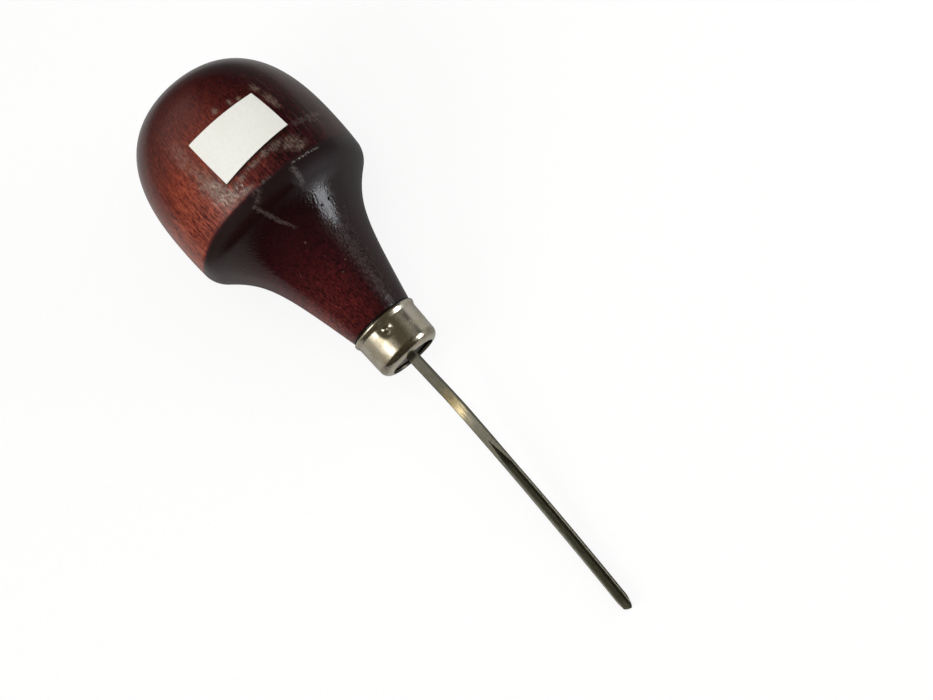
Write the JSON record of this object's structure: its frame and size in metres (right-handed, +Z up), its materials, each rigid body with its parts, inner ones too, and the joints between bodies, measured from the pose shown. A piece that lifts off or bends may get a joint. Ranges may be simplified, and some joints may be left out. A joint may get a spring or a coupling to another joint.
{
  "type": "carving v-tool",
  "caption": "Palm-handled carving V-tool: turned hardwood handle, plated ferrule and a slender, slightly swept steel blade with a sharpened V channel, for cutting grooves in wood.",
  "frame": {"origin": "middle of the bounding box's underside, on the surface that the tool lies on", "axes": "+X towards the blade's tip, +Z up, with the tool lying on its head and its tip and the channel open upwards"},
  "size_m": [0.126, 0.038, 0.0397],
  "materials": {
    "handle": "red-brown stain under gloss lacquer",
    "ferrule": "polished nickel plate",
    "blade": "ground tool steel",
    "label": "matt white"
  },
  "bodies": {
    "root": {"handle": "handle", "ferrule": "ferrule", "blade": "blade", "label": "label"}
  },
  "joints": []
}
